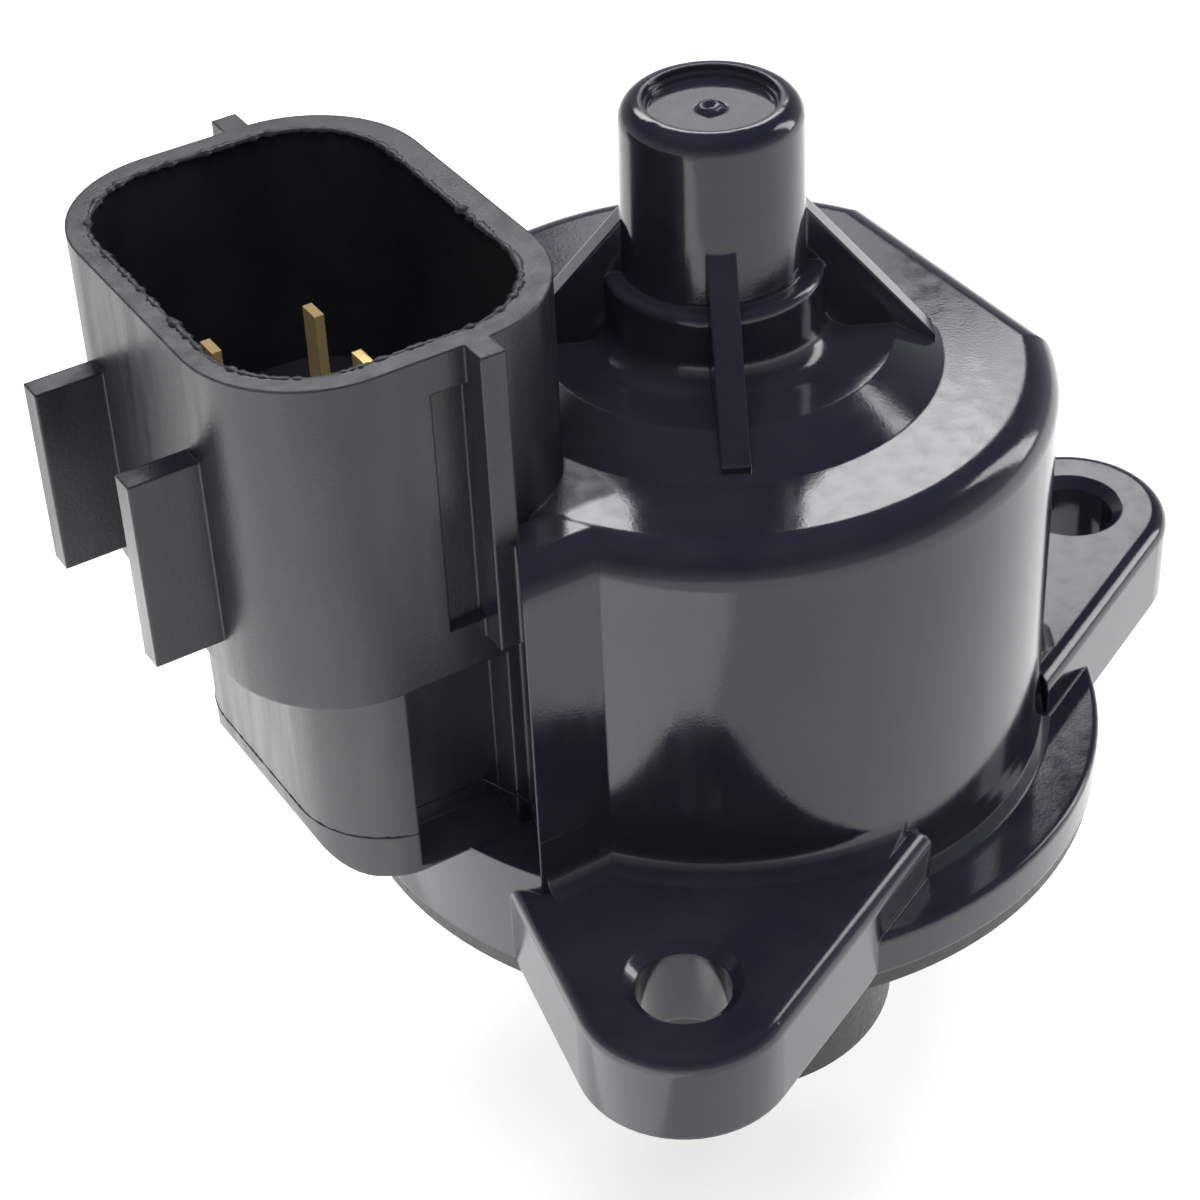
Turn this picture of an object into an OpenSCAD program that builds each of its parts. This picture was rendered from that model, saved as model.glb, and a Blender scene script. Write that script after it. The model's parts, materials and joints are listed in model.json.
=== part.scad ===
/* [Body] */
// Radius of the round motor body
body_r = 19.6; // [19.4:0.1:21]
// Height of the body's flat top above the mounting face
body_h = 29.25; // [28.75:0.05:33]
// Rounding of the body's top edge
body_edge = 2.1; // [0.8:0.1:2.6]
// Distance of the body's flat side from the motor axis
body_flat = 17.4; // [17.2:0.1:19]
// How much wider the body is at its foot
foot_flare = 0.5; // [0.2:0.1:1]
// Height of the foot's concave flare above the flange
foot_h = 2.4; // [1:0.1:3]

/* [Flange and ears] */
// Radius of the round flange
flange_r = 23.4; // [22.8:0.1:26]
// Thickness of the round flange
flange_t = 2.65; // [2:0.05:4]
// Distance between the two mounting holes
hole_spacing = 50; // [48:0.5:56]
// Angle between the two ears, seen from the motor axis
ear_angle = 128; // [110:1:150]
// Radius of an ear round its hole
ear_r = 6.25; // [5.5:0.05:7]
// Thickness of an ear
ear_t = 5.85; // [4.5:0.05:8]
// Rounding of an ear's top edge
ear_edge = 1.0; // [0.3:0.1:1.5]
// Angle that an ear's flank spreads towards the body
ear_flare = 26.5; // [15:0.5:35]
// Radius of the fillet between an ear's top and the body
ear_fillet = 1.6; // [0.8:0.1:2]
// Radius of a mounting hole
hole_r = 2.7; // [2.2:0.05:3.3]
// Width of the chamfer round a mounting hole
hole_chamfer = 0.65; // [0.3:0.05:1]

/* [Tower and gussets] */
// Radius of the tower at its top
tower_r = 5.06; // [4.8:0.02:6]
// Height of the tower's top above the mounting face
tower_h = 45.6; // [44.6:0.05:51]
// Extra radius of the tower at its foot
tower_draft = 0.22; // [0:0.02:0.4]
// Rounding of the tower's top edge
tower_edge = 1.1; // [0.4:0.1:1.5]
// Radius of the shallow recess in the tower's top
recess_r = 3.55; // [2.5:0.05:3.9]
// Depth of the recess in the tower's top
recess_depth = 0.7; // [0.4:0.05:1.5]
// Radius of the moulding gate's dimple in the recess
dimple_r = 0.9; // [0.5:0.1:1.4]
// Radius of the collar round the tower's foot
collar_r = 6.2; // [5.9:0.05:7]
// Height of the collar's top above the mounting face
collar_h = 35.5; // [34.2:0.05:37]
// Radius of the fillet between the collar and the platform
collar_fillet = 1.6; // [0.8:0.1:2]
// Radius of the platform's flat top
platform_r = 10.2; // [9:0.1:11]
// Height of the platform above the body's top
platform_h = 1.75; // [1:0.05:2.5]
// Width of the platform's sloping rim
platform_slope = 2.8; // [1.5:0.1:3.2]
// Distance of the platform's flat side from the motor axis
platform_flat = 11.9; // [11:0.1:13]
// Number of gussets round the tower
gusset_n = 4; // [3:1:4]
// Thickness of a gusset
gusset_t = 1.6; // [1:0.1:2.4]
// Height at which a gusset meets the tower
gusset_top = 38.95; // [37.2:0.05:41]
// Radius at which a gusset meets the platform's rim
gusset_reach = 12.5; // [11:0.1:12.8]
// Turn of the first gusset about the motor axis
gusset_turn = 61.4; // [55:0.2:65]

/* [Connector] */
// Length of the socket across the motor's radius
socket_l = 27.0; // [26:0.1:30]
// Width of the socket along the motor's radius
socket_w = 20.6; // [20:0.1:23]
// Distance of the socket's near wall from the motor axis
socket_x = 11.7; // [11.5:0.1:12.5]
// Distance of the socket's front face from the motor axis
socket_front = 7.7; // [7.4:0.1:8.2]
// Height of the socket's rim above the mounting face
socket_h = 41.35; // [39.2:0.05:44]
// Height of the socket's underside above the mounting face
socket_foot = 21.15; // [20.2:0.05:21.6]
// Height of the socket's floor above the mounting face
socket_floor = 26.05; // [25.9:0.05:28]
// Thickness of the socket's wall towards the motor
socket_wall = 1.7; // [1.3:0.05:1.9]
// Thickness of the socket's two end walls
socket_end_wall = 1.35; // [1.1:0.05:1.9]
// Thickness of the socket's outermost wall
socket_outer_wall = 1.2; // [1.0:0.05:1.9]
// Outer radius of the socket's corners
socket_corner = 7.2; // [6:0.1:7.6]
// How far a guide rail stands out from the socket
rail_out = 4.0; // [3.6:0.05:5.5]
// Thickness of a guide rail
rail_t = 1.5; // [1.2:0.1:2.2]
// Distance between the two guide rails' middles
rail_pitch = 12.1; // [11:0.1:14]
// Height of the near guide rail's top above the mounting face
rail_top = 35.3; // [33.5:0.05:37.5]
// How much lower the far guide rail's top is
rail_step = 1.0; // [0:0.1:2]
// Height of a guide rail
rail_h = 11.6; // [9:0.1:12]
// How far a locking rib stands out from the socket
rib_out = 1.2; // [0.8:0.1:2]
// Width of a locking rib
rib_w = 1.5; // [1.2:0.1:2.4]
// Distance of the locking ribs from the motor axis
rib_x = 19.3; // [18.8:0.1:20]
// Height of the locking ribs' foot above the socket's underside
rib_rise = 1.7; // [1:0.1:3]
// Depth of the shallow channel beside the front rib
channel_depth = 0.55; // [0.3:0.05:0.7]
// Width of the shallow channel beside the front rib
channel_w = 2.1; // [1.5:0.1:2.5]
// Distance of the channel's end from the socket's rim
channel_end = 2.2; // [1:0.1:4]

/* [Neck] */
// Distance of the neck's outer end from the motor axis
neck_x = 29.6; // [28.8:0.1:31]
// Distance of the neck's far side from the motor axis
neck_far = 13.5; // [13.2:0.1:14.5]
// Height of the neck's underside above the mounting face
neck_foot = 8.1; // [7.6:0.05:9.2]
// Radius of the neck's upright corners
neck_corner = 5.8; // [4:0.1:6.4]
// Rounding of the lower edge at the neck's outer end
neck_edge = 2.2; // [0.8:0.1:2.5]
// Rounding of the lower edges along the neck's sides
neck_side_edge = 0.4; // [0.2:0.1:0.8]
// Depth of the pocket in the neck's front
pocket_depth = 2.1; // [1:0.1:2.4]
// Width of the pocket in the neck's front
pocket_w = 6.2; // [5:0.1:6.8]
// Distance of the pocket's near wall from the motor axis
pocket_x = 18.9; // [18.5:0.1:19.4]
// Height of the slope that closes the pocket below
pocket_ramp = 1.2; // [0.8:0.1:2]
// Distance of the corner block's front face from the motor axis
block_front = 12.05; // [11.6:0.05:12.6]
// Distance of the corner block's outer edge from the motor axis
block_x = 20.1; // [19.8:0.1:20.6]

/* [Terminals] */
// Width of a terminal blade
blade_w = 1.5; // [1.3:0.1:2.2]
// Thickness of a terminal blade
blade_t = 0.6; // [0.5:0.02:1]
// Height of the terminals' tips above the mounting face
blade_top = 33.55; // [32.6:0.05:35]
// Distance between neighbouring terminals in a row
blade_pitch = 5.85; // [5.5:0.05:6.2]
// Distance between the two rows of terminals
row_pitch = 6.4; // [6:0.1:7]
// Distance of the middle between the rows from the motor axis
row_mid = 22.5; // [22:0.1:22.8]

/* [Base and spigot] */
// Radius of the base plate's round edge
base_r = 23.2; // [22.6:0.1:25.6]
// Thickness of the base plate's edge
base_t = 1.15; // [0.9:0.05:2]
// Radius of the spigot below the base plate
spigot_r = 11.2; // [10.8:0.1:11.6]
// Depth of the spigot's end below the mounting face
spigot_depth = 19.85; // [18.5:0.05:24]
// Thickness of the spigot's wall
spigot_wall = 2.2; // [1.8:0.1:2.6]
// Thickness of the web that holds the guide bush
web_t = 5.0; // [4:0.1:6]
// Radius of the seal's round section
seal_section = 0.9; // [0.7:0.05:1]
// Radius of the seal at the middle of its section
seal_r = 13.5; // [13.2:0.1:13.8]
// How far the seal stands out of its groove
seal_proud = 0.5; // [0.2:0.05:0.6]

/* [Motor] */
// Radius of the hollow for the motor
hollow_r = 15.2; // [15.0:0.05:15.4]
// Height of the motor hollow's ceiling above the mounting face
hollow_h = 23.55; // [23.1:0.05:23.7]
// Thickness of the base plate's plug inside the hollow
plug_t = 3.0; // [2.6:0.1:3.4]
// Thickness of the stator's pressed steel
steel_t = 0.95; // [0.7:0.05:1.1]
// Number of claws on each stator plate
claw_n = 6; // [4:1:8]
// Radius of the bore inside the claws
claw_r = 8.2; // [8:0.05:8.4]
// Width of a claw at its root
claw_root = 3.4; // [2.4:0.1:3.6]
// Width of a claw at its tip
claw_tip = 2.0; // [1.4:0.1:2.2]
// Thickness of a bobbin's walls
bobbin_wall = 0.7; // [0.5:0.05:0.9]
// Thickness of the bobbin flange that carries the terminals
bobbin_rim = 1.4; // [1.2:0.1:1.6]
// Depth of the winding below the bobbin's edge
wind_gap = 0.5; // [0.2:0.1:1]
// Running gap between the magnet and the claws
air_gap = 0.5; // [0.3:0.05:0.8]
// Radius of the rotor hub under the magnet
hub_r = 4.2; // [4:0.05:4.6]
// Radius of the hub's bearing journals
journal_r = 3.4; // [3.2:0.05:3.6]

/* [Bearings] */
// Outer radius of the ball bearing
bearing_r = 6.5; // [6.3:0.05:6.8]
// Width of the ball bearing
bearing_w = 3.9; // [3.6:0.1:3.9]
// Height of the cage that spaces the balls
cage_h = 2.2; // [1.9:0.1:2.4]
// Thickness of the cage
cage_t = 0.56; // [0.4:0.02:0.7]
// Radius of a bearing ball
ball_r = 0.8; // [0.7:0.02:0.85]
// Number of bearing balls
ball_n = 7; // [6:1:8]
// Outer radius of the plain bush at the rear
rear_bush_r = 5.2; // [4.8:0.05:5.6]
// Length of the plain bush at the rear
rear_bush_h = 3.4; // [3:0.1:4]

/* [Pintle] */
// Radius of the lead screw
screw_r = 2.0; // [1.8:0.05:2.1]
// Height of the lead screw's top above the mounting face
screw_top = 39.65; // [36:0.05:41]
// Pitch of the lead screw's thread
screw_pitch = 1.6; // [1.2:0.1:2]
// Depth of the lead screw's thread
thread_depth = 0.35; // [0.2:0.05:0.45]
// Length of the flatted stem above the ball bearing's foot
stem_rise = 9.5; // [8.5:0.1:10.5]
// Distance of each flat on the lead screw from its axis
screw_flat = 1.55; // [1.3:0.05:1.65]
// Largest radius of the pintle
pintle_r = 7.4; // [6.8:0.1:8]
// Height of the pintle
pintle_h = 7.6; // [6.5:0.1:9]
// Radius of the pintle's rounded tip
pintle_tip = 2.6; // [2:0.1:3.2]
// Depth of the pintle's shoulder below the mounting face
pintle_seat = 15.85; // [15:0.05:17]
// Thickness of the guide bush's sleeve round the lead screw
guide_wall = 2.45; // [2:0.05:2.6]
// Thickness of the guide bush's flange
guide_flange_t = 1.0; // [0.8:0.1:1.4]
// Outer radius of the spring
spring_r = 5.3; // [5:0.1:5.6]
// Radius of the spring's wire
wire_r = 0.45; // [0.35:0.05:0.55]
// Number of working turns in the spring
spring_turns = 4; // [3:1:5]

/* [Clearances] */
// Gap round a piece that is pressed or moulded into another
seat_gap = 0.02; // [0.01:0.01:0.03]
// Gap between a piece and one that runs or slides in it
run_gap = 0.05; // [0.03:0.01:0.08]
// Gap between stacked motor pieces
stack_gap = 0.05; // [0.02:0.01:0.1]

/* [Hidden] */
$fn = 96;
overlap = 0.4;
reach = 90;

hole_rho = hole_spacing / 2 / sin(ear_angle / 2);
ear_angles = [0, -ear_angle];

socket_far = socket_l - socket_front;
socket_mid_x = socket_x + socket_w / 2;
socket_mid_y = socket_far - socket_l / 2;
inner_corner = socket_corner - socket_end_wall;
rib_foot = socket_foot + rib_rise;
channel_foot = rib_foot + rib_out;
channel_top = socket_h - channel_end;
ear_top = base_t + ear_t;
fillet_sink = 0.1;
fillet_inset = ear_edge + 0.15;
block_root = 2;

platform_top = body_h + platform_h;
bore_r = screw_r + 1.2;
bore_top = tower_h - recess_depth - 1.6;
bush_seat_h = hollow_h + rear_bush_h + 0.1;

row_x = [row_mid - row_pitch / 2, row_mid + row_pitch / 2];
blade_y = [for (k = [-1, 0, 1]) socket_mid_y + k * blade_pitch];

plug_top = base_t + plug_t;
stack_foot = plug_top + stack_gap;
stack_top = hollow_h - stack_gap;
stack_mid = (stack_foot + stack_top) / 2;
cup_h = stack_mid - stack_foot - stack_gap / 2;
cup_r = hollow_r - 0.15;
claw_outer = claw_r + steel_t;
claw_h = cup_h - 2 * steel_t - 0.5;
bobbin_h = cup_h - 2 * steel_t - 2 * stack_gap;
bobbin_hub = claw_outer + stack_gap;
bobbin_r = cup_r - steel_t - 0.2;
winding_r = bobbin_r - wind_gap;
lead_z = [
    stack_mid - stack_gap / 2 - steel_t - stack_gap - bobbin_rim / 2,
    stack_mid + stack_gap / 2 + steel_t + stack_gap + bobbin_rim / 2
];

magnet_r = claw_r - air_gap;
magnet_foot = stack_foot + 1.3;
magnet_top = stack_top - 1.5;
shoulder_foot = plug_top + 0.15;
shoulder_top = hollow_h - 1.0;
bearing_foot = plug_top - bearing_w;
ball_z = bearing_foot + bearing_w / 2;
ball_ring = (journal_r + bearing_r) / 2;
race_inner = ball_ring - 0.5;
race_outer = ball_ring + 0.5;
web_foot = bearing_foot - web_t;

guide_r = screw_r + run_gap + guide_wall;
guide_flange_r = spring_r + wire_r;
spring_top = web_foot - guide_flange_t;
flat_top = bearing_foot + stem_rise;

// A rectangle from the axis outwards, with its upper outer corner rounded.
module rounded_profile(r, h, edge) {
    square([r - edge, h]);
    square([r, h - edge]);
    translate([r - edge, h - edge]) circle(edge);
}

// The material left in an inside corner by a fillet.
module corner_fill(radius) {
    difference() {
        translate([-overlap, -overlap]) square(radius + overlap);
        translate([radius, radius]) circle(radius);
    }
}

// A rectangle with rounded corners, centred on its middle.
module rounded_rect(l, w, corner) {
    square([l - 2 * corner, w], center = true);
    square([l, w - 2 * corner], center = true);
    for (sx = [-1, 1]) {
        for (sy = [-1, 1]) {
            translate([sx * (l / 2 - corner), sy * (w / 2 - corner)]) circle(corner);
        }
    }
}

// A ring with square edges, standing on z.
module ring(outer, inner, z, h) {
    translate([0, 0, z]) linear_extrude(h) difference() {
        circle(outer);
        circle(inner);
    }
}

// A bar along Y whose section in X and Z is the child, spanning the whole part.
module along_y() {
    translate([0, reach, 0]) rotate([90, 0, 0]) linear_extrude(2 * reach) children();
}

// A bar along X whose section in Y and Z is the child, spanning the whole part.
module along_x() {
    translate([-reach, 0, 0]) rotate([90, 0, 90]) linear_extrude(2 * reach) children();
}

// Section of a wall that ends at x, with its top edge rounded.
module wall_section(x, top, edge) {
    translate([-reach, base_t]) square([reach + x - edge, top - base_t]);
    translate([-reach, base_t]) square([reach + x, top - edge - base_t]);
    translate([x - edge, top - edge]) circle(edge);
}

// Body with its flat side, where both top edges are rounded alike.
module body_solid() {
    intersection() {
        rotate_extrude() union() {
            translate([0, base_t]) rounded_profile(body_r, body_h - base_t, body_edge);
            translate([body_r, base_t + flange_t]) foot_profile();
        }
        along_y() wall_section(body_flat, body_h, body_edge);
    }
}

// Corner block beside the neck: a flat front that leans back to the neck's front.
module corner_block() {
    neck_meets = sqrt(pow(body_r, 2) - pow(socket_front, 2));
    body_meets = sqrt(pow(body_r, 2) - pow(block_front, 2));
    intersection() {
        linear_extrude(body_h) polygon([
            [-block_x, -block_front],
            [block_root - body_meets, -block_front],
            [block_root - neck_meets, -socket_front],
            [-neck_meets, -socket_front]
        ]);
        along_x() mirror([1, 0]) wall_section(block_front, body_h, body_edge);
    }
}

// Fillet between the ears' tops and the walls that rise from them.
module ear_fillets() {
    fillet_z = ear_top - fillet_sink;
    wall_top = body_h - body_edge;
    intersection() {
        union() {
            intersection() {
                rotate_extrude() union() {
                    translate([0, base_t]) square([body_r, wall_top - base_t]);
                    translate([body_r, fillet_z]) corner_fill(ear_fillet);
                }
                along_y() union() {
                    translate([-reach, base_t]) square([reach + body_flat, wall_top - base_t]);
                    translate([body_flat, fillet_z]) corner_fill(ear_fillet);
                }
            }
            intersection() {
                translate([overlap - block_x, -reach, 0]) cube([block_x - hollow_r, reach, reach]);
                along_x() translate([-block_front, fillet_z]) mirror([1, 0]) corner_fill(ear_fillet);
            }
        }
        translate([0, 0, ear_top - ear_edge]) linear_extrude(reach) union() {
            for (angle = ear_angles) rotate(angle) ear_web(ear_r - fillet_inset);
        }
    }
}

// Section of the concave flare at the body's foot.
module foot_profile() {
    polygon([
        [-overlap, -overlap],
        [foot_flare + 0.3, -overlap],
        [foot_flare + 0.3, 0],
        [foot_flare * 0.5, foot_h * 0.3],
        [foot_flare * 0.15, foot_h * 0.65],
        [0, foot_h],
        [-overlap, foot_h]
    ]);
}

// Platform with a sloping rim and one flat side.
module platform() {
    intersection() {
        rotate_extrude() polygon([
            [0, body_h - overlap],
            [platform_r + platform_slope, body_h - overlap],
            [platform_r + platform_slope, body_h],
            [platform_r, platform_top],
            [0, platform_top]
        ]);
        along_y() polygon([
            [-reach, 0],
            [platform_flat, 0],
            [platform_flat, body_h],
            [platform_flat - platform_slope, platform_top],
            [-reach, platform_top]
        ]);
    }
}

// Tower with its collar, the fillet at its foot and the stepped recess on top.
module tower() {
    difference() {
        rotate_extrude() union() {
            polygon([
                [0, platform_top - overlap],
                [tower_r + tower_draft, platform_top - overlap],
                [tower_r, tower_h - tower_edge],
                [tower_r - tower_edge, tower_h],
                [0, tower_h]
            ]);
            translate([tower_r - tower_edge, tower_h - tower_edge]) circle(tower_edge);
            rounded_profile(collar_r, collar_h, 0.5);
            translate([collar_r, platform_top]) corner_fill(collar_fillet);
        }
        translate([0, 0, tower_h - recess_depth]) cylinder(r = recess_r, h = reach);
        translate([0, 0, tower_h - recess_depth * 0.6]) cylinder(r = recess_r + 0.2, h = reach);
        translate([0, 0, tower_h - recess_depth + dimple_r * 1.6]) sphere(dimple_r * 1.9);
    }
}

// One gusset, standing on the platform against the tower.
module gusset() {
    rotate([90, 0, 0]) linear_extrude(gusset_t, center = true) polygon([
        [bore_r + 0.5, body_h - overlap],
        [gusset_reach, body_h - overlap],
        [gusset_reach, platform_top - platform_h * 0.5],
        [tower_r, gusset_top],
        [bore_r + 0.5, gusset_top]
    ]);
}

module gussets() {
    for (k = [0 : gusset_n - 1]) {
        rotate(gusset_turn + k * 360 / gusset_n) gusset();
    }
}

// A slab below the ear's rounded top whose straight edge is the flank's line.
module flank(side) {
    line = hole_rho * sin(ear_flare) + ear_r;
    rotate(side * (90 - ear_flare)) along_y() wall_section(line, ear_top, ear_edge);
}

// Plan of an ear between its round end and the body, for a round end of radius r.
module ear_web(r) {
    touch = [hole_rho + r * sin(ear_flare), r * cos(ear_flare)];
    root = touch[1] + (touch[0] - hollow_r) * tan(ear_flare);
    polygon([
        [hole_rho, 0],
        [touch[0], touch[1]],
        [hollow_r, root],
        [hollow_r, -root],
        [touch[0], -touch[1]]
    ]);
}

// One ear: a round end and two spreading flanks, all with the same edge.
module ear() {
    translate([hole_rho, 0, base_t]) rotate_extrude() rounded_profile(ear_r, ear_t, ear_edge);
    intersection() {
        translate([0, 0, base_t]) linear_extrude(ear_t) ear_web(ear_r);
        flank(1);
        flank(-1);
    }
}

// A mounting hole with a chamfer at its top.
module ear_hole() {
    translate([hole_rho, 0, -1]) cylinder(r = hole_r, h = reach);
    translate([hole_rho, 0, ear_top - hole_chamfer]) {
        cylinder(r1 = hole_r, r2 = hole_r + 2 * hole_chamfer, h = 2 * hole_chamfer);
    }
}

// Round flange under the body, with its top edge eased.
module flange() {
    translate([0, 0, base_t]) rotate_extrude() rounded_profile(flange_r, flange_t, 0.4);
}

// Skirt between the flange and the neck's underside, flush with the flange's rim.
module skirt() {
    width = neck_far + block_front;
    intersection() {
        translate([0, 0, base_t]) cylinder(r = flange_r, h = neck_foot + overlap - base_t);
        translate([-reach, -block_front, 0]) cube([reach - hollow_r, width, reach]);
    }
}

// The socket's outside, with its guide rails and locking ribs.
module socket_outside() {
    translate([-socket_mid_x, socket_mid_y, socket_foot]) {
        linear_extrude(socket_h - socket_foot) rounded_rect(socket_w, socket_l, socket_corner);
    }
    for (side = [-1, 1]) {
        rail_y = socket_mid_y + side * rail_pitch / 2 - rail_t / 2;
        rail_foot = rail_top - rail_h - max(side, 0) * rail_step;
        translate([-socket_x - socket_w - rail_out, rail_y, rail_foot]) {
            cube([rail_out + socket_outer_wall, rail_t, rail_h]);
        }
        rib_y = socket_mid_y + side * (socket_l + rib_out) / 2 - rib_out / 2 - overlap;
        translate([-rib_x - rib_w / 2, rib_y, rib_foot]) {
            cube([rib_w, rib_out + 2 * overlap, socket_h - rib_foot]);
        }
    }
}

// The space inside the socket above its floor.
module socket_inside() {
    inner_w = socket_w - socket_wall - socket_outer_wall;
    inner_x = socket_x + socket_wall + inner_w / 2;
    translate([-inner_x, socket_mid_y, socket_floor]) {
        linear_extrude(reach) rounded_rect(inner_w, socket_l - 2 * socket_end_wall, inner_corner);
    }
}

// Shallow channel beside the rib on the socket's front face.
module channel() {
    translate([-rib_x - rib_w / 2 - channel_w, -socket_front - overlap, channel_foot]) {
        cube([channel_w, channel_depth + overlap, channel_top - channel_foot]);
    }
}

// The neck that carries the socket on the body, rounded along its lower edges.
module neck() {
    width = neck_far + socket_front;
    middle = (neck_far - socket_front) / 2;
    intersection() {
        translate([0, 0, neck_foot]) linear_extrude(socket_foot + overlap - neck_foot) {
            translate([-neck_x / 2, middle]) rounded_rect(neck_x, width, neck_corner);
            translate([-neck_x / 2, -socket_front]) square([neck_x / 2, width]);
        }
        translate([reach, middle, 0]) rotate([90, 0, -90]) linear_extrude(2 * reach) {
            rounded_foot(width);
        }
        along_y() union() {
            translate([-neck_x + neck_edge, neck_foot]) square([reach, reach]);
            translate([-neck_x, neck_foot + neck_edge]) square([reach, reach]);
            translate([-neck_x + neck_edge, neck_foot + neck_edge]) circle(neck_edge);
        }
    }
}

// Upright section of the neck, rounded at both lower corners.
module rounded_foot(width) {
    edge = neck_side_edge;
    translate([-width / 2 + edge, neck_foot]) square([width - 2 * edge, reach]);
    translate([-width / 2, neck_foot + edge]) square([width, reach]);
    for (side = [-1, 1]) {
        translate([side * (width / 2 - edge), neck_foot + edge]) circle(edge);
    }
}

// Pocket in the neck's front, below the socket's ledge, with a sloping floor.
module neck_pocket() {
    floor_z = neck_foot + neck_side_edge;
    translate([-pocket_x - pocket_w, 0, 0]) rotate([90, 0, 90]) linear_extrude(pocket_w) polygon([
        [-socket_front - overlap, floor_z],
        [-socket_front, floor_z],
        [-socket_front + pocket_depth, floor_z + pocket_ramp],
        [-socket_front + pocket_depth, socket_foot],
        [-socket_front - overlap, socket_foot]
    ]);
}

// One terminal's outline: an upright blade and the lead to the bobbin.
// gap widens it for the slot that it is moulded into.
module terminal_shape(row, k, gap) {
    y = blade_y[k];
    x = row_x[row];
    z = lead_z[1 - row];
    near_y = max(abs(y) - blade_w / 2, 0);
    end_x = sqrt(pow(bobbin_r + run_gap, 2) - pow(near_y, 2));
    translate([-x - blade_t / 2 - gap, y - blade_w / 2 - gap, z - blade_t / 2 - gap]) {
        cube([blade_t + 2 * gap, blade_w + 2 * gap, blade_top - z]);
    }
    translate([-x - blade_t / 2 - gap, y - blade_w / 2 - gap, z - blade_t / 2 - gap]) {
        cube([x + blade_t / 2 - end_x + gap, blade_w + 2 * gap, blade_t + 2 * gap]);
    }
}

// A terminal with its tip narrowed on the two broad faces.
module terminal(row, k) {
    x = row_x[row];
    color("gold") difference() {
        terminal_shape(row, k, 0);
        for (side = [-1, 1]) {
            translate([-x, blade_y[k] + side * blade_w / 2, blade_top - blade_t / 2]) {
                rotate([side * 25, 0, 0]) translate([0, side * blade_w / 2, 0]) {
                    cube([2 * blade_w, blade_w, 2 * blade_w], center = true);
                }
            }
        }
    }
}

// Everything in the housing that is hollow for the motor.
module motor_hollow() {
    translate([0, 0, -1]) cylinder(r = hollow_r, h = hollow_h + 1);
    translate([0, 0, hollow_h - 1]) cylinder(r = rear_bush_r + seat_gap, h = bush_seat_h - hollow_h + 1);
    translate([0, 0, hollow_h - 1]) cylinder(r = bore_r, h = bore_top - hollow_h + 1);
}

module housing() {
    color([0.09, 0.09, 0.1]) difference() {
        union() {
            body_solid();
            platform();
            tower();
            gussets();
            flange();
            for (angle = ear_angles) rotate(angle) ear();
            ear_fillets();
            corner_block();
            skirt();
            socket_outside();
            difference() {
                neck();
                neck_pocket();
            }
        }
        motor_hollow();
        socket_inside();
        channel();
        for (angle = ear_angles) rotate(angle) ear_hole();
        for (row = [0, 1]) {
            for (k = [0, 1, 2]) terminal_shape(row, k, seat_gap);
        }
    }
}

// Base plate: edge, plug, web and spigot turned as one profile.
module base_plate() {
    groove = seal_section + 0.3;
    color([0.12, 0.12, 0.13]) rotate_extrude() difference() {
        union() {
            square([base_r, base_t]);
            square([hollow_r - seat_gap, plug_top]);
            translate([0, -spigot_depth]) square([spigot_r, spigot_depth + base_t]);
        }
        translate([-1, bearing_foot]) square([1 + bearing_r + seat_gap, reach]);
        translate([-1, web_foot - 1]) square([1 + guide_r + seat_gap, reach]);
        translate([-1, -spigot_depth - 1]) square([1 + spigot_r - spigot_wall, spigot_depth + 1 + web_foot]);
        translate([seal_r - groove, -1]) square([2 * groove, 1 + 2 * seal_section - seal_proud]);
    }
}

module seal_ring() {
    color([0.05, 0.05, 0.05]) rotate_extrude() {
        translate([seal_r, seal_section - seal_proud - seat_gap]) circle(seal_section);
    }
}

// One claw of a stator plate: an arc of the bore's wall that narrows upwards.
module claw(z, h) {
    intersection() {
        ring(claw_outer, claw_r, z, h);
        translate([0, 0, z]) rotate([90, 0, 90]) linear_extrude(reach) polygon([
            [-claw_root / 2, 0],
            [claw_root / 2, 0],
            [claw_tip / 2, h],
            [-claw_tip / 2, h]
        ]);
    }
}

// A plate with its claws upwards, and a rim if it is the outer cup.
module stator_plate(outer, wall_h, turn) {
    difference() {
        rotate(turn) union() {
            ring(outer, claw_r, 0, steel_t);
            if (wall_h > 0) ring(outer, outer - steel_t, 0, wall_h);
            for (k = [0 : claw_n - 1]) {
                rotate(k * 360 / claw_n) claw(steel_t - overlap, claw_h + overlap);
            }
        }
        if (wall_h > 0) lead_window(wall_h);
    }
}

// Opening in a cup's wall where the leads pass to the bobbin.
module lead_window(wall_h) {
    low = min(blade_y[0] - blade_w, 0);
    high = blade_y[2] + blade_w;
    depth = steel_t + bobbin_rim + 0.4;
    translate([-reach, low, wall_h - depth]) cube([reach, high - low, reach]);
}

// The lower cup of one phase stands upright and the upper one is turned over.
module upside(z) {
    translate([0, 0, z]) mirror([0, 0, 1]) children();
}

module lower_outer_cup() {
    color("silver") translate([0, 0, stack_foot]) stator_plate(cup_r, cup_h, 0);
}

module lower_inner_plate() {
    color("silver") upside(stack_mid - stack_gap / 2) {
        stator_plate(cup_r - steel_t - run_gap, 0, 180 / claw_n);
    }
}

module upper_inner_plate() {
    color("silver") translate([0, 0, stack_mid + stack_gap / 2]) {
        stator_plate(cup_r - steel_t - run_gap, 0, 90 / claw_n);
    }
}

module upper_outer_cup() {
    color("silver") upside(stack_top) stator_plate(cup_r, cup_h, 270 / claw_n);
}

// A bobbin whose thick flange is at the top.
module bobbin() {
    ring(bobbin_hub + bobbin_wall, bobbin_hub, 0, bobbin_h);
    ring(bobbin_r, bobbin_hub, 0, bobbin_wall);
    ring(bobbin_r, bobbin_hub, bobbin_h - bobbin_rim, bobbin_rim);
}

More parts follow.
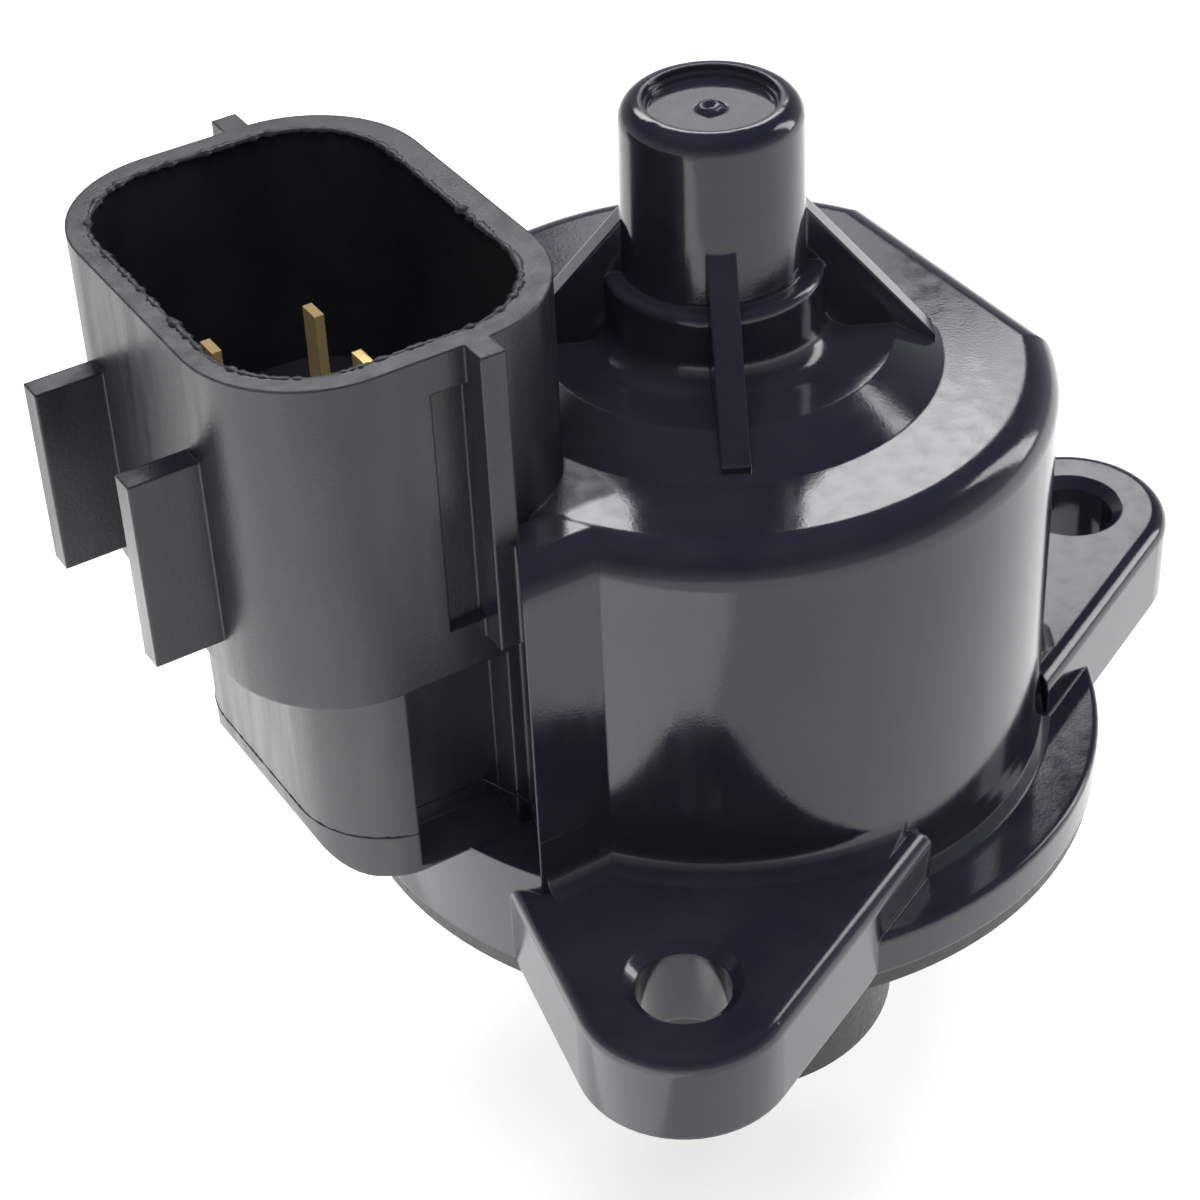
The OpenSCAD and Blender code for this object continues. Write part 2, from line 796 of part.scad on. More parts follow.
// A winding with slightly rounded edges, inside its bobbin.
module winding() {
    inner = bobbin_hub + bobbin_wall + seat_gap;
    foot = bobbin_wall + seat_gap;
    h = bobbin_h - bobbin_wall - bobbin_rim - 2 * seat_gap;
    rotate_extrude() difference() {
        translate([0, foot]) rounded_profile(winding_r, h, 0.4);
        square([inner, reach]);
    }
}

bobbin_foot = stack_foot + steel_t + stack_gap;
bobbin_roof = stack_top - steel_t - stack_gap;

module lower_bobbin() {
    color("ivory") translate([0, 0, bobbin_foot]) bobbin();
}

module upper_bobbin() {
    color("ivory") upside(bobbin_roof) bobbin();
}

module lower_winding() {
    color("chocolate") translate([0, 0, bobbin_foot]) winding();
}

module upper_winding() {
    color("chocolate") upside(bobbin_roof) winding();
}

module rotor_magnet() {
    color("dimgray") ring(magnet_r, hub_r + seat_gap, magnet_foot, magnet_top - magnet_foot);
}

// Hub with a journal at each end and the nut's bore through it.
module rotor_hub() {
    color("ivory") difference() {
        union() {
            translate([0, 0, bearing_foot + 0.1]) {
                cylinder(r = journal_r, h = bush_seat_h - bearing_foot - 0.3);
            }
            translate([0, 0, shoulder_foot]) cylinder(r = hub_r, h = shoulder_top - shoulder_foot);
        }
        translate([0, 0, -reach]) cylinder(r = screw_r + run_gap, h = 2 * reach);
    }
}

// A race of the ball bearing, with the balls' groove turned into it.
module race(outer, inner) {
    rotate_extrude() difference() {
        translate([inner, bearing_foot]) square([outer - inner, bearing_w]);
        translate([ball_ring, ball_z]) circle(ball_r + run_gap);
    }
}

module bearing_outer_race() {
    color("silver") race(bearing_r, race_outer);
}

module bearing_inner_race() {
    color("silver") race(race_inner, journal_r + seat_gap);
}

module bearing_balls() {
    color("white") for (k = [0 : ball_n - 1]) {
        rotate(k * 360 / ball_n) translate([ball_ring, 0, ball_z]) sphere(ball_r);
    }
}

// Cage that spaces the balls, open round each one.
module bearing_cage() {
    color("tan") difference() {
        ring(ball_ring + cage_t / 2, ball_ring - cage_t / 2, ball_z - cage_h / 2, cage_h);
        for (k = [0 : ball_n - 1]) {
            rotate(k * 360 / ball_n) translate([ball_ring, 0, ball_z]) sphere(ball_r + run_gap);
        }
    }
}

module rear_bush() {
    color("peru") ring(rear_bush_r, journal_r + run_gap, hollow_h, rear_bush_h);
}

module thrust_washer() {
    foot = shoulder_top + stack_gap;
    color("silver") ring(rear_bush_r - 0.2, journal_r + run_gap, foot, hollow_h - stack_gap - foot);
}

// The screw's section where it slides through the guide without turning.
module flatted(r, half) {
    intersection() {
        circle(r);
        square([2 * half, 4 * r], center = true);
    }
}

// Lead screw: a flatted stem below and a threaded length above.
module lead_screw() {
    foot = -pintle_seat - pintle_h * 0.6;
    grooves = floor((screw_top - flat_top - 1) / screw_pitch);
    color("silver") {
        translate([0, 0, foot]) linear_extrude(flat_top - foot) flatted(screw_r, screw_flat);
        rotate_extrude() difference() {
            translate([0, flat_top]) rounded_profile(screw_r, screw_top - flat_top, 0.5);
            for (k = [1 : grooves]) {
                translate([screw_r, flat_top + k * screw_pitch]) thread_groove();
            }
        }
    }
}

// Section of the thread's groove.
module thread_groove() {
    polygon([
        [-thread_depth, -0.1],
        [0.1, -0.1 - thread_depth],
        [0.1, 0.1 + thread_depth],
        [-thread_depth, 0.1]
    ]);
}

// Bush that stops the screw from turning and seats the spring.
module guide_bush() {
    color("peru") difference() {
        union() {
            translate([0, 0, web_foot - guide_flange_t]) cylinder(r = guide_flange_r, h = guide_flange_t);
            translate([0, 0, web_foot - 0.5]) cylinder(r = guide_r, h = web_t + 0.3);
        }
        translate([0, 0, -reach]) linear_extrude(2 * reach) flatted(screw_r + run_gap, screw_flat + run_gap);
    }
}

// Pintle: a spring seat on top, a shoulder, a cone and a rounded tip.
module pintle() {
    tip_z = -pintle_seat - pintle_h;
    boss_r = spring_r - 2 * wire_r - 0.3;
    color("goldenrod") difference() {
        rotate_extrude() union() {
            intersection() {
                translate([0, tip_z + pintle_tip]) circle(pintle_tip);
                translate([0, tip_z]) square([pintle_r, pintle_tip]);
            }
            polygon([
                [0, tip_z + pintle_tip],
                [pintle_tip, tip_z + pintle_tip],
                [pintle_r, -pintle_seat - 1.6],
                [pintle_r, -pintle_seat],
                [boss_r, -pintle_seat],
                [boss_r, -pintle_seat + 1.2],
                [0, -pintle_seat + 1.2]
            ]);
        }
        translate([0, 0, -pintle_seat - pintle_h * 0.6 - seat_gap]) {
            linear_extrude(reach) flatted(screw_r + seat_gap, screw_flat + seat_gap);
        }
    }
}

// Points of one ring of the spring's wire, at a fraction of its length.
function spring_lift(t, span) =
    let(dead = 0.1)
    t < dead ? 0 : t > 1 - dead ? span : span * (t - dead) / (1 - 2 * dead);
function wire_ring(t, span, turns, r, wire, sides) =
    [for (j = [0 : sides - 1])
        let(turn = t * turns * 360, out = r + wire * cos(j * 360 / sides))
        [out * cos(turn), out * sin(turn), spring_lift(t, span) + wire * sin(j * 360 / sides)]];

// The spring's wire, swept along a helix with closed ends.
module return_spring() {
    sides = 8;
    turns = spring_turns + 1.2;
    rings = round(turns * 20);
    foot = -pintle_seat + run_gap + wire_r;
    span = spring_top - run_gap - wire_r - foot;
    points = [for (i = [0 : rings]) each wire_ring(i / rings, span, turns, spring_r - wire_r, wire_r, sides)];
    walls = [for (i = [0 : rings - 1], j = [0 : sides - 1])
        let(a = i * sides + j, b = i * sides + (j + 1) % sides)
        each [[a, b, a + sides], [b, b + sides, a + sides]]];
    ends = [
        [for (j = [sides - 1 : -1 : 0]) j],
        [for (j = [0 : sides - 1]) rings * sides + j]
    ];
    color("lightgray") translate([0, 0, foot]) polyhedron(points, concat(walls, ends));
}

housing();
base_plate();
seal_ring();
lower_outer_cup();
lower_inner_plate();
upper_inner_plate();
upper_outer_cup();
lower_bobbin();
upper_bobbin();
lower_winding();
upper_winding();
rotor_magnet();
rotor_hub();
bearing_outer_race();
bearing_inner_race();
bearing_balls();
bearing_cage();
rear_bush();
thrust_washer();
lead_screw();
guide_bush();
pintle();
return_spring();
terminal(0, 0);  // terminal_1
terminal(0, 1);  // terminal_2
terminal(0, 2);  // terminal_3
terminal(1, 0);  // terminal_4
terminal(1, 1);  // terminal_5
terminal(1, 2);  // terminal_6
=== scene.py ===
import json
import math

import bmesh
import bpy
from mathutils import Matrix, Vector, noise


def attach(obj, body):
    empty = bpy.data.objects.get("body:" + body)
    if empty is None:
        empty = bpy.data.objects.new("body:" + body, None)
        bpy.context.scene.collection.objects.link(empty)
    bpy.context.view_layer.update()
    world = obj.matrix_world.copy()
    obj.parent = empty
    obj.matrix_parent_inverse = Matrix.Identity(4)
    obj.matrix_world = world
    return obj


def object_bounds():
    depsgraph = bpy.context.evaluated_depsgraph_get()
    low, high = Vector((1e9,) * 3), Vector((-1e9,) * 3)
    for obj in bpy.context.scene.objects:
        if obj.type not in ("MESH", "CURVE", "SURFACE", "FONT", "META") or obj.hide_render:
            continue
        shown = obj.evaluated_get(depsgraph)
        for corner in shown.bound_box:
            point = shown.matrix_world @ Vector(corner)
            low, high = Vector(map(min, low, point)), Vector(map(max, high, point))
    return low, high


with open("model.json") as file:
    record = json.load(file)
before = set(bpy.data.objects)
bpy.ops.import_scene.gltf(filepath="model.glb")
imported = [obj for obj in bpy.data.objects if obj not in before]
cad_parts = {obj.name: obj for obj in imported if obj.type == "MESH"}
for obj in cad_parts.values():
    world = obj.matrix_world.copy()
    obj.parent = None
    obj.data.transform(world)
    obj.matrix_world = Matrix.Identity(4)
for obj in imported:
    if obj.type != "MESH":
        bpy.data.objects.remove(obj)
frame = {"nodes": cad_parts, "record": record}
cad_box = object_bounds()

MM = 0.001
scene = bpy.context.scene
scene.view_settings.view_transform = "Standard"

# Camera, in the same frame as the part
CAMERA_PLACE = (-76.92 * MM, -116.21 * MM, 119.62 * MM)
CAMERA_LENS = 87.0
CAMERA_YAW = math.radians(30.764)
CAMERA_PITCH = math.radians(37.734)
CAMERA_ROLL = math.radians(-2.522)
CAMERA_SHIFT = (-0.0072, -0.0007)
SENSOR_WIDTH = 36.0

# Where the housing's gloss turns to satin: beside the body, above the neck's foot,
# and behind the block or above it
SATIN_X = (-11.3 * MM, -12.0 * MM)
SATIN_Y = (-8.4 * MM, -7.9 * MM)
SATIN_FOOT_Z = (7.9 * MM, 8.3 * MM)
SATIN_BLOCK_Z = (29.3 * MM, 30.0 * MM)

# Flash and mark left by the mould
RIM_SLICE_Z = 41.2 * MM
RIM_FLASH_RISE = 0.06 * MM
RIM_FLASH_STEP = 0.22 * MM
RIM_FLASH_WIDTH = 0.33 * MM
RIM_FLASH_HEIGHT = 0.17 * MM
SOCKET_NEAR_X = -10 * MM
PARTING_Z = 10.95 * MM
PARTING_STEP = 0.25 * MM
PARTING_WIDTH = 0.07 * MM
PARTING_HEIGHT = 0.1 * MM
NECK_CLEAR_R = 20.6 * MM
FLASH_FINE = 0.5 * MM
FLASH_BROAD = 2.1 * MM
FLASH_SIDES = 6
GATE_FLOOR_Z = 44.9 * MM
# Radius and height in mm, from the pip's middle to its edge, which is sunk in the plastic
GATE_PROFILE = ((0.0, 0.02), (0.22, 0.03), (0.42, 0.2), (0.6, 0.19), (0.8, 0.05), (0.92, -0.04))
GATE_SIDES = 40
GATE_NOISE = 2.4
GATE_NOISE_LEVEL = 0.4
GATE_UNEVEN = 0.7

# Studio
FLOOR_HALF = 3.0
PART_MIDDLE = (0.0, 0.0, 0.02)
BODY_TOP = (0.0, 0.0, 0.029)
EAR_TOP = (0.03, 0.0, 0.007)
TOWER_TOP = (0.0, 0.0, 0.045)
HORIZON = (0.6, 0.6, 0.63)
CEILING = (0.05, 0.05, 0.085)
CEILING_RAMP = (0.05, 0.55)
SKY_LIGHT = (0.4, 0.4, 0.41)
WHITE = (1.0, 1.0, 1.0)


def make_camera():
    """The camera at the photo's angle."""
    data = bpy.data.cameras.new("camera")
    data.sensor_width = SENSOR_WIDTH
    data.lens = CAMERA_LENS
    data.shift_x, data.shift_y = CAMERA_SHIFT
    data.clip_start, data.clip_end = 0.01, 20.0
    camera = bpy.data.objects.new("camera", data)
    scene.collection.objects.link(camera)
    turn = (
        Matrix.Rotation(-CAMERA_YAW, 4, "Z")
        @ Matrix.Rotation(math.pi / 2 - CAMERA_PITCH, 4, "X")
        @ Matrix.Rotation(CAMERA_ROLL, 4, "Z")
    )
    camera.matrix_world = Matrix.Translation(CAMERA_PLACE) @ turn
    scene.camera = camera


class Nodes:
    """A node tree built a node at a time."""

    def __init__(self, tree):
        self.tree = tree
        tree.nodes.clear()

    def add(self, kind, **values):
        node = self.tree.nodes.new(kind)
        for key, value in values.items():
            if hasattr(node, key):
                setattr(node, key, value)
            else:
                node.inputs[key.replace("_", " ")].default_value = value
        return node

    def link(self, source, target):
        self.tree.links.new(source, target)


def new_material(name):
    """An empty material and its node tree."""
    material = bpy.data.materials.new(name)
    material.use_nodes = True
    return material, Nodes(material.node_tree)


def noise_node(n, coords, scale, detail=3.0, stretch=None):
    """A noise texture in the part's own metres, stretched along an axis if asked."""
    node = n.add("ShaderNodeTexNoise", Scale=scale, Detail=detail)
    if stretch:
        mapping = n.add("ShaderNodeMapping")
        mapping.inputs["Scale"].default_value = stretch
        n.link(coords, mapping.inputs["Vector"])
        coords = mapping.outputs["Vector"]
    n.link(coords, node.inputs["Vector"])
    return node.outputs["Fac"]


def spread(n, value, from_min, from_max, to_min, to_max):
    """A value moved from one range to another."""
    node = n.add("ShaderNodeMapRange")
    node.inputs["From Min"].default_value = from_min
    node.inputs["From Max"].default_value = from_max
    node.inputs["To Min"].default_value = to_min
    node.inputs["To Max"].default_value = to_max
    n.link(value, node.inputs["Value"])
    return node.outputs["Result"]


def mix_values(n, factor, a, b):
    """Value a where the factor is 0 and b where it is 1."""
    node = n.add("ShaderNodeMix", data_type="FLOAT")
    n.link(factor, node.inputs[0])
    n.link(a, node.inputs[2])
    n.link(b, node.inputs[3])
    return node.outputs[0]


def mix_colours(n, factor, a, b):
    """Colour a where the factor is 0 and b where it is 1."""
    node = n.add("ShaderNodeMix", data_type="RGBA")
    n.link(factor, node.inputs[0])
    for socket, colour in ((node.inputs[6], a), (node.inputs[7], b)):
        if isinstance(colour, tuple):
            socket.default_value = (*colour, 1.0)
        else:
            n.link(colour, socket)
    return node.outputs[2]


def multiply(n, a, b):
    """The product of a value and another value or a number."""
    node = n.add("ShaderNodeMath", operation="MULTIPLY")
    n.link(a, node.inputs[0])
    if isinstance(b, float):
        node.inputs[1].default_value = b
    else:
        n.link(b, node.inputs[1])
    return node.outputs[0]


def larger(n, a, b):
    """The larger of two values."""
    node = n.add("ShaderNodeMath", operation="MAXIMUM")
    n.link(a, node.inputs[0])
    n.link(b, node.inputs[1])
    return node.outputs[0]


def surface(n, colour, roughness, height, bump_depth, edge, metallic=0.0, specular=0.5):
    """A principled surface with a bump and softly rounded edges."""
    shader = n.add("ShaderNodeBsdfPrincipled")
    shader.inputs["Metallic"].default_value = metallic
    shader.inputs["Specular IOR Level"].default_value = specular
    output = n.add("ShaderNodeOutputMaterial")
    n.link(colour, shader.inputs["Base Color"])
    n.link(roughness, shader.inputs["Roughness"])
    bump = n.add("ShaderNodeBump")
    bump.inputs["Distance"].default_value = bump_depth
    n.link(height, bump.inputs["Height"])
    if edge:
        bevel = n.add("ShaderNodeBevel", samples=6)
        bevel.inputs["Radius"].default_value = edge
        n.link(bevel.outputs["Normal"], bump.inputs["Normal"])
    n.link(bump.outputs["Normal"], shader.inputs["Normal"])
    n.link(shader.outputs["BSDF"], output.inputs["Surface"])
    return shader


def simple(name, dark, light, rough, scale, bump_depth, metallic=0.0, stretch=None, edge=0.0):
    """A material whose colour, roughness and height all vary with noise."""
    material, n = new_material(name)
    coords = n.add("ShaderNodeTexCoord").outputs["Object"]
    broad = noise_node(n, coords, scale * 0.2)
    fine = noise_node(n, coords, scale, 4.0, stretch)
    colour = mix_colours(n, spread(n, broad, 0.35, 0.65, 0, 1), dark, light)
    roughness = spread(n, fine, 0.3, 0.7, rough[0], rough[1])
    surface(n, colour, roughness, fine, bump_depth, edge, metallic)
    return material


def housing_material():
    """Black moulded plastic: glossy body and tower, satin socket and neck."""
    material, n = new_material("housing_black")
    coords = n.add("ShaderNodeTexCoord").outputs["Object"]
    place = n.add("ShaderNodeSeparateXYZ")
    n.link(coords, place.inputs[0])
    beside = spread(n, place.outputs["X"], *SATIN_X, 0, 1)
    behind = spread(n, place.outputs["Y"], *SATIN_Y, 0, 1)
    above = spread(n, place.outputs["Z"], *SATIN_BLOCK_Z, 0, 1)
    raised = spread(n, place.outputs["Z"], *SATIN_FOOT_Z, 0, 1)
    satin = multiply(n, multiply(n, beside, raised), larger(n, behind, above))
    broad = noise_node(n, coords, 180.0, 4.0)
    fine = noise_node(n, coords, 5200.0, 2.0)
    streaks = noise_node(n, coords, 900.0, 5.0, (1.0, 1.0, 0.12))
    tint = spread(n, broad, 0.35, 0.65, 0, 1)
    glossy_colour = mix_colours(n, tint, (0.0125, 0.012, 0.0205), (0.0175, 0.017, 0.026))
    satin_colour = mix_colours(n, tint, (0.0115, 0.011, 0.015), (0.0165, 0.016, 0.0205))
    colour = mix_colours(n, satin, glossy_colour, satin_colour)
    gloss = spread(n, streaks, 0.35, 0.7, 0.09, 0.16)
    dull = spread(n, streaks, 0.35, 0.7, 0.3, 0.42)
    roughness = mix_values(n, satin, gloss, dull)
    grain = multiply(n, fine, spread(n, satin, 0, 1, 0.25, 1.0))
    surface(n, colour, roughness, grain, 0.012 * MM, 0.22 * MM)
    return material


def slice_loops(node, z):
    """The closed outlines where a level plane at height z cuts a node."""
    shape = bmesh.new()
    shape.from_mesh(frame["nodes"][node].data)
    bmesh.ops.remove_doubles(shape, verts=shape.verts, dist=0.0005 * MM)
    parts = shape.verts[:] + shape.edges[:] + shape.faces[:]
    cut = bmesh.ops.bisect_plane(shape, geom=parts, plane_co=(0, 0, z), plane_no=(0, 0, 1))
    beside = {}
    for edge in cut["geom_cut"]:
        if isinstance(edge, bmesh.types.BMEdge):
            a, b = edge.verts
            beside.setdefault(a, []).append(b)
            beside.setdefault(b, []).append(a)
    loops = []
    left = dict.fromkeys(beside)
    while left:
        point, _ = left.popitem()
        loop = [point.co.copy()]
        while point:
            point = next((other for other in beside[point] if other in left), None)
            if point:
                del left[point]
                loop.append(point.co.copy())
        loops.append(loop)
    shape.free()
    return loops


def loop_length(loop):
    """The length of a closed outline."""
    return sum((b - a).length for a, b in zip(loop, loop[1:] + loop[:1]))


def even_points(loop, step):
    """Points a step apart along a closed outline."""
    count = max(8, int(loop_length(loop) / step))
    spacing = loop_length(loop) / count
    points = []
    travelled = 0.0
    for a, b in zip(loop, loop[1:] + loop[:1]):
        length = (b - a).length
        while len(points) < count and len(points) * spacing <= travelled + length and length > 0:
            points.append(a.lerp(b, (len(points) * spacing - travelled) / length))
        travelled += length
    return points


def flash_thickness(point):
    """How much thicker or thinner than its stated size the flash is at a point."""
    fine = abs(noise.noise(point / FLASH_FINE))
    broad = abs(noise.noise(point / FLASH_BROAD))
    return 0.35 + 1.3 * fine + 0.5 * broad


def ragged_bead(name, points, width, height, closed=True):
    """A thin uneven bead of flash along a row of level points."""
    sides = FLASH_SIDES
    shape = bmesh.new()
    rings = []
    count = len(points)
    for i, point in enumerate(points):
        before = points[i - 1] if closed or i > 0 else point
        after = points[(i + 1) % count] if closed or i < count - 1 else point
        ahead = (after - before).normalized()
        out = Vector((ahead.y, -ahead.x, 0.0))
        thickness = flash_thickness(point)
        ring = []
        for k in range(sides):
            angle = 2 * math.pi * k / sides
            offset = out * (width * thickness * math.cos(angle))
            offset.z = height * thickness * math.sin(angle)
            ring.append(shape.verts.new(point + offset))
        rings.append(ring)
    pairs = list(zip(rings, rings[1:]))
    if closed:
        pairs.append((rings[-1], rings[0]))
    for a, b in pairs:
        for k in range(sides):
            shape.faces.new((a[k], b[k], b[(k + 1) % sides], a[(k + 1) % sides]))
    if not closed:
        shape.faces.new(rings[0])
        shape.faces.new(rings[-1][::-1])
    bmesh.ops.recalc_face_normals(shape, faces=shape.faces)
    finish_piece(name, shape)


def finish_piece(name, shape):
    """A smooth piece of the housing's plastic that rides on the valve's body."""
    mesh = bpy.data.meshes.new(name)
    shape.to_mesh(mesh)
    shape.free()
    for face in mesh.polygons:
        face.use_smooth = True
    mesh.materials.append(frame["nodes"]["housing"].data.materials[0])
    piece = bpy.data.objects.new(name, mesh)
    scene.collection.objects.link(piece)
    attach(piece, "valve_body")


def rim_flash():
    """Ragged flash round the inner edge of the socket's mouth."""
    loops = slice_loops("housing", RIM_SLICE_Z)
    socket_loops = [loop for loop in loops if max(p.x for p in loop) < SOCKET_NEAR_X]
    mouth = min(socket_loops, key=loop_length)
    points = even_points(mouth, RIM_FLASH_STEP)
    for point in points:
        point.z = RIM_SLICE_Z + RIM_FLASH_RISE
    ragged_bead("rim_flash", points, RIM_FLASH_WIDTH, RIM_FLASH_HEIGHT)


def neck_flash():
    """Thin flash along the mould's parting line round the neck."""
    outside = max(slice_loops("housing", PARTING_Z), key=loop_length)
    points = even_points(outside, PARTING_STEP)
    start = max(range(len(points)), key=lambda i: points[i].x)
    points = points[start:] + points[:start]
    points = [p for p in points if math.hypot(p.x, p.y) > NECK_CLEAR_R and p.x < 0]
    ragged_bead("neck_flash", points, PARTING_WIDTH, PARTING_HEIGHT, closed=False)


def gate_mark():
    """Small uneven pip where the plastic was fed, in the recess of the tower's top."""
    around = GATE_SIDES
    shape = bmesh.new()
    rings = []
    for r, height in GATE_PROFILE:
        ring = []
        for k in range(around if r else 1):
            angle = 2 * math.pi * k / around
            x, y = r * math.cos(angle), r * math.sin(angle)
            uneven = 1 + GATE_UNEVEN * noise.noise((GATE_NOISE * x, GATE_NOISE * y, GATE_NOISE_LEVEL))
            ring.append(shape.verts.new((x * MM, y * MM, GATE_FLOOR_Z + height * uneven * MM)))
        rings.append(ring)
    for a, b in zip(rings, rings[1:]):
        for k in range(around):
            after = (k + 1) % around
            if len(a) == 1:
                shape.faces.new((a[0], b[k], b[after]))
            else:
                shape.faces.new((a[k], b[k], b[after], a[after]))
    finish_piece("gate_mark", shape)


def paint(node_names, material):
    """Gives CAD nodes a material."""
    for name in node_names:
        mesh = frame["nodes"][name].data
        mesh.materials.clear()
        mesh.materials.append(material)


def base_material():
    return simple(
        "base_black", dark=(0.008, 0.008, 0.01), light=(0.014, 0.014, 0.016),
        rough=(0.35, 0.5), scale=2500, bump_depth=0.01 * MM, edge=0.15 * MM,
    )


def seal_material():
    return simple(
        "seal_black", dark=(0.006, 0.006, 0.006), light=(0.012, 0.012, 0.012),
        rough=(0.55, 0.75), scale=2500, bump_depth=0.01 * MM,
    )


def pressed_steel_material():
    return simple(
        "pressed_steel", dark=(0.42, 0.42, 0.41), light=(0.55, 0.55, 0.54),
        rough=(0.28, 0.42), scale=1800, bump_depth=0.006 * MM, metallic=1.0, stretch=(1, 1, 0.2),
    )


def natural_plastic_material():
    return simple(
        "natural_plastic", dark=(0.55, 0.5, 0.38), light=(0.64, 0.59, 0.46),
        rough=(0.4, 0.55), scale=1500, bump_depth=0.008 * MM,
    )


def copper_wire_material():
    return simple(
        "copper_wire", dark=(0.3, 0.1, 0.035), light=(0.45, 0.17, 0.06),
        rough=(0.25, 0.4), scale=900, bump_depth=0.08 * MM, metallic=1.0, stretch=(0.1, 0.1, 4.0),
    )


def ferrite_material():
    return simple(
        "ferrite", dark=(0.02, 0.02, 0.022), light=(0.04, 0.04, 0.042),
        rough=(0.45, 0.65), scale=2600, bump_depth=0.012 * MM,
    )


def ground_steel_material():
    return simple(
        "ground_steel", dark=(0.55, 0.55, 0.56), light=(0.68, 0.68, 0.69),
        rough=(0.12, 0.22), scale=1500, bump_depth=0.002 * MM, metallic=1.0,
    )


def bronze_material():
    return simple(
        "bronze", dark=(0.36, 0.2, 0.08), light=(0.48, 0.29, 0.12),
        rough=(0.3, 0.48), scale=2200, bump_depth=0.008 * MM, metallic=1.0,
    )


def turned_steel_material():
    return simple(
        "turned_steel", dark=(0.4, 0.4, 0.41), light=(0.52, 0.52, 0.53),
        rough=(0.2, 0.34), scale=1800, bump_depth=0.005 * MM, metallic=1.0, stretch=(1, 1, 6),
    )


def turned_plastic_material():
    return simple(
        "turned_plastic", dark=(0.2, 0.14, 0.07), light=(0.28, 0.2, 0.11),
        rough=(0.3, 0.42), scale=1500, bump_depth=0.006 * MM, stretch=(1, 1, 5),
    )


def spring_wire_material():
    return simple(
        "spring_wire", dark=(0.45, 0.45, 0.46), light=(0.6, 0.6, 0.61),
        rough=(0.2, 0.32), scale=1800, bump_depth=0.004 * MM, metallic=1.0,
    )


def gold_material():
    return simple(
        "gold_plate", dark=(0.95, 0.68, 0.28), light=(1.0, 0.8, 0.42),
        rough=(0.2, 0.34), scale=500, bump_depth=0.003 * MM, metallic=0.6, edge=0.08 * MM,
    )


def paint_all():
    plates = ["lower_outer_cup", "lower_inner_plate", "upper_inner_plate", "upper_outer_cup"]
    paint(["housing"], housing_material())
    paint(["base_plate"], base_material())
    paint(["seal_ring"], seal_material())
    paint([*plates, "thrust_washer"], pressed_steel_material())
    paint(["lower_bobbin", "upper_bobbin", "rotor_hub"], natural_plastic_material())
    paint(["lower_winding", "upper_winding"], copper_wire_material())
    paint(["rotor_magnet"], ferrite_material())
    paint(["bearing_outer_race", "bearing_inner_race", "bearing_balls"], ground_steel_material())
    paint(["bearing_cage", "rear_bush", "guide_bush"], bronze_material())
    paint(["lead_screw"], turned_steel_material())
    paint(["pintle"], turned_plastic_material())
    paint(["return_spring"], spring_wire_material())
    paint([f"terminal_{k}" for k in range(1, 7)], gold_material())


def camera_or_mirror_ray(n):
    """1 for camera, glossy and transmission rays, 0 for the rays that light the part."""
    path = n.add("ShaderNodeLightPath")
    value = path.outputs["Is Camera Ray"]
    for name in ("Is Glossy Ray", "Is Transmission Ray"):
        value = larger(n, value, path.outputs[name])
    return value


def make_world():
    """White to the camera, and a pale horizon under a dim ceiling in reflections."""
    world = bpy.data.worlds.new("studio")
    world.use_nodes = True
    scene.world = world
    n = Nodes(world.node_tree)
    seen = camera_or_mirror_ray(n)
    coords = n.add("ShaderNodeTexCoord").outputs["Generated"]
    place = n.add("ShaderNodeSeparateXYZ")
    n.link(coords, place.inputs[0])
    ceiling = spread(n, place.outputs["Z"], *CEILING_RAMP, 0, 1)
    path = n.add("ShaderNodeLightPath")
    mirrored = mix_colours(n, ceiling, HORIZON, CEILING)
    shown = mix_colours(n, path.outputs["Is Camera Ray"], mirrored, WHITE)
    colour = mix_colours(n, seen, SKY_LIGHT, shown)
    background = n.add("ShaderNodeBackground")
    output = n.add("ShaderNodeOutputWorld")
    n.link(colour, background.inputs["Color"])
    n.link(background.outputs[0], output.inputs["Surface"])


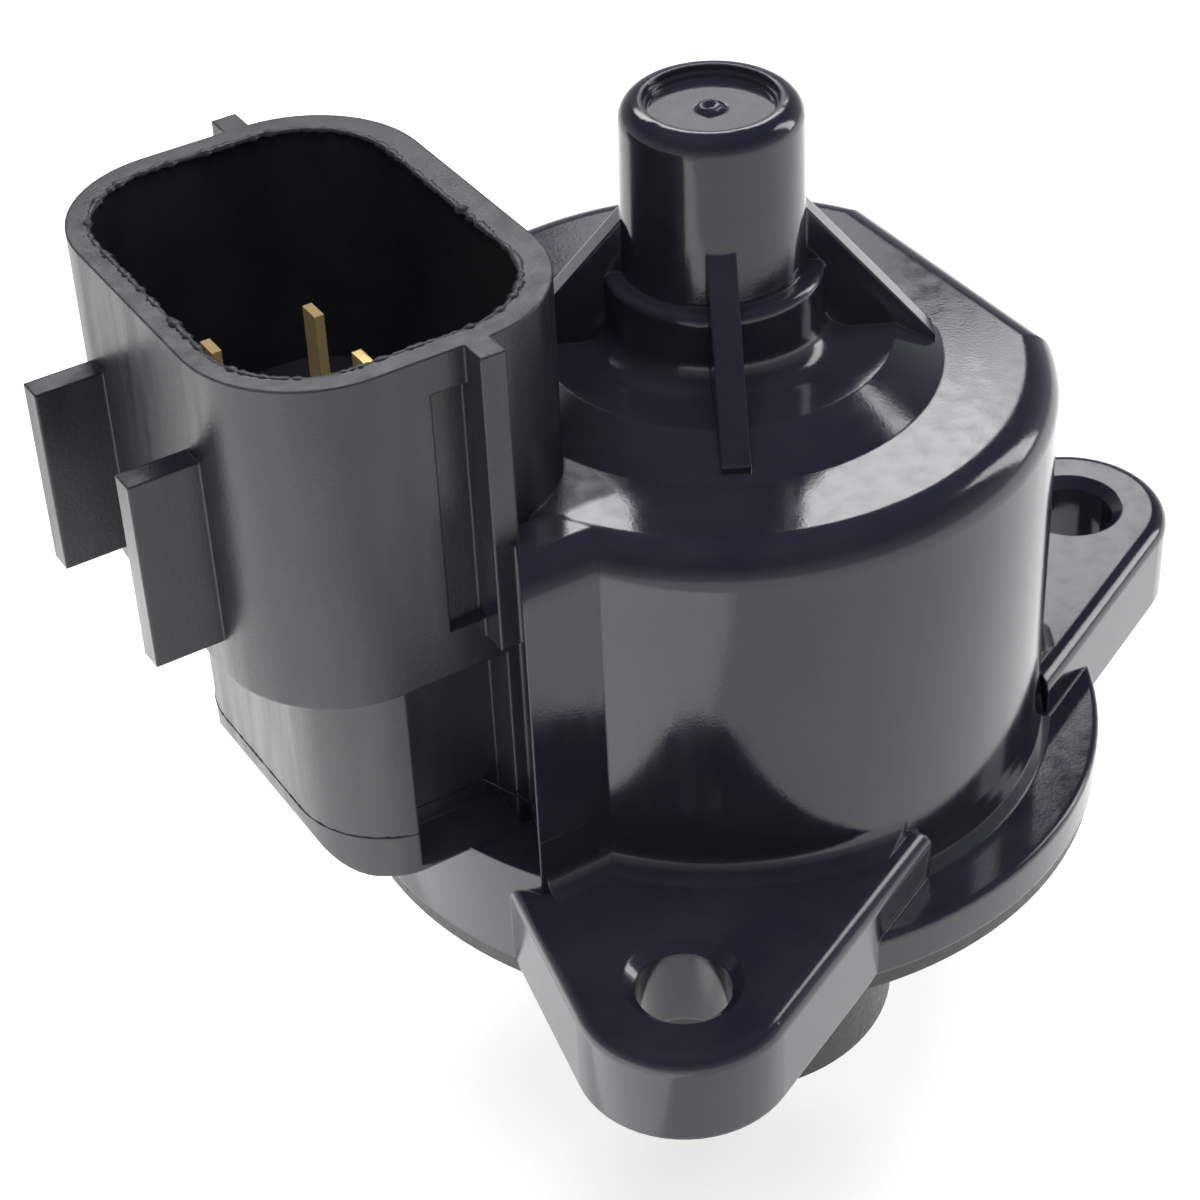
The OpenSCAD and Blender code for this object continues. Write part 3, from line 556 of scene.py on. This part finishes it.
def make_floor():
    """A white floor that keeps the part's shadow, below the pintle at the end of its travel."""
    mesh = bpy.data.meshes.new("floor")
    shape = bmesh.new()
    bmesh.ops.create_grid(shape, x_segments=1, y_segments=1, size=FLOOR_HALF)
    shape.to_mesh(mesh)
    shape.free()
    floor = bpy.data.objects.new("floor", mesh)
    joints = frame["record"]["behaviour"]["joints"]
    slide = next(joint for joint in joints if joint["name"] == "pintle_slide")
    floor.location.z = cad_box[0].z - slide["range_m"][1]
    scene.collection.objects.link(floor)
    material, n = new_material("floor_white")
    seen = camera_or_mirror_ray(n)
    diffuse = n.add("ShaderNodeBsdfDiffuse", Color=(0.82, 0.82, 0.82, 1.0))
    glow = n.add("ShaderNodeEmission", Strength=1.0)
    glow.inputs["Color"].default_value = (0.5, 0.5, 0.5, 1.0)
    both = n.add("ShaderNodeAddShader")
    mix = n.add("ShaderNodeMixShader")
    output = n.add("ShaderNodeOutputMaterial")
    n.link(diffuse.outputs[0], both.inputs[0])
    n.link(glow.outputs[0], both.inputs[1])
    n.link(seen, mix.inputs[0])
    n.link(diffuse.outputs[0], mix.inputs[1])
    n.link(both.outputs[0], mix.inputs[2])
    n.link(mix.outputs[0], output.inputs["Surface"])
    mesh.materials.append(material)


def softbox(name, place, target, size, power, mirrored=True):
    """A soft lamp at place that faces target, hidden from the camera."""
    data = bpy.data.lights.new(name, "AREA")
    data.shape = "RECTANGLE"
    data.size, data.size_y = size
    data.energy = power
    lamp = bpy.data.objects.new(name, data)
    aim = Vector(target) - Vector(place)
    lamp.matrix_world = Matrix.Translation(place) @ aim.to_track_quat("-Z", "Y").to_matrix().to_4x4()
    lamp.visible_camera = False
    lamp.visible_glossy = mirrored
    scene.collection.objects.link(lamp)


def make_lights():
    """The first, third and fourth lamps show in the glossy tops of the body, the far ear and the tower."""
    softbox("lamp_back", (0.2, 0.43, 0.395), BODY_TOP, size=(0.3, 0.085), power=0.65)
    softbox("lamp_left", (-0.12, 0.0, -0.022), (-0.12, 0.0, 0.1), size=(0.16, 0.15), power=0.085)
    softbox("lamp_tower", (0.296, 0.439, 0.327), TOWER_TOP, size=(0.09, 0.045), power=0.03)
    softbox("lamp_far", (0.42, 0.42, 0.42), EAR_TOP, size=(0.07, 0.1), power=0.11)
    softbox("lamp_right", (0.5, -0.1, 0.25), PART_MIDDLE, size=(0.12, 0.4), power=1.0)
    softbox("lamp_top", (-0.1, -0.1, 0.7), PART_MIDDLE, size=(0.5, 0.5), power=5.0, mirrored=False)


make_camera()
make_world()
make_floor()
make_lights()
paint_all()
rim_flash()
neck_flash()
gate_mark()
